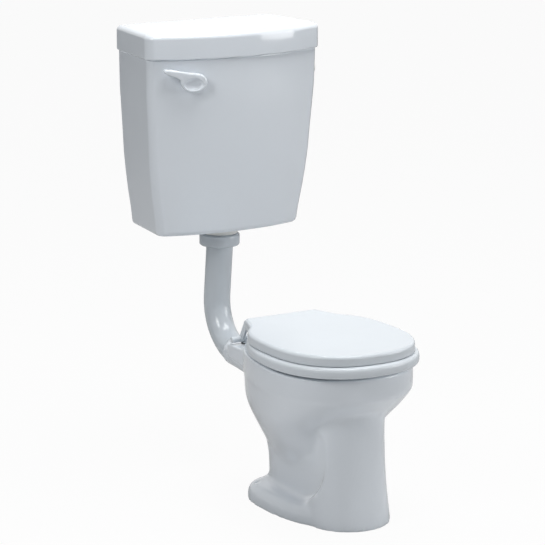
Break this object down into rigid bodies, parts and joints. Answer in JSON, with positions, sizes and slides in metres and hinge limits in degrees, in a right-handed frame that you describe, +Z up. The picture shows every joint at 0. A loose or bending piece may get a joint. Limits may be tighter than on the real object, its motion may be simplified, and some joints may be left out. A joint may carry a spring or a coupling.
{
  "type": "childrens toilet",
  "caption": "Low-level children's toilet: white china pan with hinged seat and lid, wall-hung cistern with loose lid and front flush lever, and a bent flush pipe between them.",
  "frame": {"origin": "On the floor, on the plane of symmetry, under the back wall of the pan's foot.", "axes": "+Z up, +Y towards the wall that the cistern hangs on, -Y towards the front of the pan, +X towards the inlet valve's side, to a viewer's right when facing the toilet's front."},
  "size_m": [0.4074, 0.7062, 0.8828],
  "materials": {
    "china": "white glazed vitreous china",
    "seat_plastic": "white moulded plastic",
    "pipe_plastic": "pale grey-white plastic pipe",
    "lever_plastic": "white gloss lever",
    "fitting_plastic": "off-white fitting plastic",
    "float_plastic": "dark moulded plastic float",
    "rubber": "black rubber",
    "brass": "drawn brass",
    "steel": "bright steel rod"
  },
  "bodies": {
    "toilet": {"pan": "china", "flush_pipe": "pipe_plastic", "flush_cone_seal": "rubber", "pipe_coupling_nut": "pipe_plastic", "pipe_sealing_ring": "rubber", "siphon_backnut": "fitting_plastic", "siphon_tail_washer": "rubber", "siphon_body": "fitting_plastic", "cistern_tank": "china", "lever_bush": "fitting_plastic", "lever_nut": "fitting_plastic", "float_valve_body": "fitting_plastic", "inlet_washer": "rubber", "inlet_backnut": "fitting_plastic", "fill_tube": "fitting_plastic", "float_arm_pin": "brass", "hinge_rod": "steel", "hinge_cap_left": "seat_plastic", "hinge_cap_right": "seat_plastic", "hinge_post_left": "seat_plastic", "hinge_post_right": "seat_plastic", "hinge_washer_left": "rubber", "hinge_washer_right": "rubber", "deck_washer_left": "fitting_plastic", "deck_washer_right": "fitting_plastic", "wing_nut_left": "fitting_plastic", "wing_nut_right": "fitting_plastic"},
    "seat": {"seat": "seat_plastic", "seat_buffer_1": "rubber", "seat_buffer_2": "rubber", "seat_buffer_3": "rubber", "seat_buffer_4": "rubber"},
    "seat_lid": {"seat_lid": "seat_plastic", "lid_buffer_1": "rubber", "lid_buffer_2": "rubber"},
    "cistern_lid": {"cistern_lid": "china"},
    "lever": {"flush_lever": "lever_plastic", "lift_arm": "brass", "lift_arm_screw": "brass"},
    "piston": {"siphon_piston": "fitting_plastic", "siphon_diaphragm": "rubber", "piston_rod": "brass", "lift_link": "brass"},
    "float_arm": {"float_arm": "brass", "float": "float_plastic"},
    "plunger": {"valve_plunger": "brass"}
  },
  "joints": [
    {"name": "seat_hinge", "type": "hinge", "parent": "toilet", "child": "seat", "pos_m": [0, 0.037, 0.303], "axis": [1, 0, 0], "range_deg": [-95, 0]},
    {"name": "lid_hinge", "type": "hinge", "parent": "seat", "child": "seat_lid", "pos_m": [0, 0.037, 0.303], "axis": [-1, 0, 0], "range_deg": [0, 100]},
    {"name": "cistern_lid_lift", "type": "slide", "parent": "toilet", "child": "cistern_lid", "axis": [0, 0, 1], "range_m": [0, 0.12]},
    {"name": "flush_lever_turn", "type": "hinge", "parent": "toilet", "child": "lever", "pos_m": [-0.1106, 0.17224, 0.7875], "axis": [-0.256, -0.9667, 0], "range_deg": [0, 20]},
    {"name": "siphon_piston_lift", "type": "slide", "parent": "toilet", "child": "piston", "axis": [0, 0, 1], "range_m": [0, 0.059]},
    {"name": "float_arm_swing", "type": "hinge", "parent": "toilet", "child": "float_arm", "pos_m": [0.11902, 0.255, 0.7735], "axis": [0, -1, 0], "range_deg": [0, 25]},
    {"name": "valve_plunger_slide", "type": "slide", "parent": "toilet", "child": "plunger", "axis": [-1, 0, 0], "range_m": [0, 0.0027]}
  ],
  "couplings": [
    {"joint": "siphon_piston_lift", "follows": "flush_lever_turn", "m_per_rad": 0.168},
    {"joint": "valve_plunger_slide", "follows": "float_arm_swing", "m_per_rad": 0.006}
  ]
}
